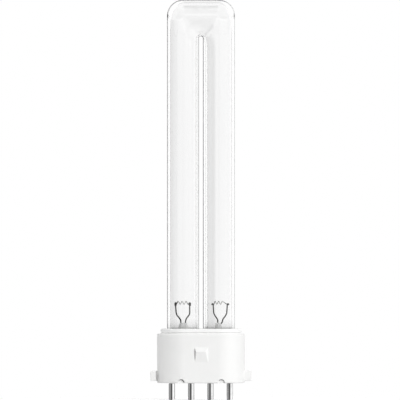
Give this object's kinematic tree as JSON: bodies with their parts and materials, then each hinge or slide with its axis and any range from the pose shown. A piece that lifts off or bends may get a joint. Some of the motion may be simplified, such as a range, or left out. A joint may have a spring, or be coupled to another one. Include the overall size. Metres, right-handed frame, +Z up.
{
  "type": "germicidal lamp",
  "caption": "Compact single-ended germicidal lamp: a clear glass tube bent into a narrow U, with electrodes in both legs, in a white oval cap with contact pins in line and end lugs.",
  "frame": {"origin": "centre of the flat underside of the cap, on the line of the pins", "axes": "+Z up along the glass legs, +X along the line of pins, broad front face of the cap towards -Y"},
  "size_m": [0.0366, 0.021, 0.1451],
  "materials": {
    "lamp_glass": "clear",
    "stem_glass": "clear",
    "cap_plastic": "satin moulded",
    "holder_plastic": "satin moulded",
    "cement": "matte",
    "pin_metal": "nickel plated",
    "lead_metal": "oxidised wire",
    "filament_metal": "coated coil",
    "amalgam": "bright"
  },
  "bodies": {
    "root": {"discharge_tube": "lamp_glass", "left_stem": "stem_glass", "right_stem": "stem_glass", "left_exhaust_tube": "stem_glass", "right_exhaust_tube": "stem_glass", "left_outer_lead": "lead_metal", "left_inner_lead": "lead_metal", "right_inner_lead": "lead_metal", "right_outer_lead": "lead_metal", "left_filament": "filament_metal", "right_filament": "filament_metal", "mercury_pellet": "amalgam", "tube_holder": "holder_plastic", "base_shell": "cap_plastic", "left_cement": "cement", "right_cement": "cement", "pin_1": "pin_metal", "pin_2": "pin_metal", "pin_3": "pin_metal", "pin_4": "pin_metal"}
  },
  "joints": []
}
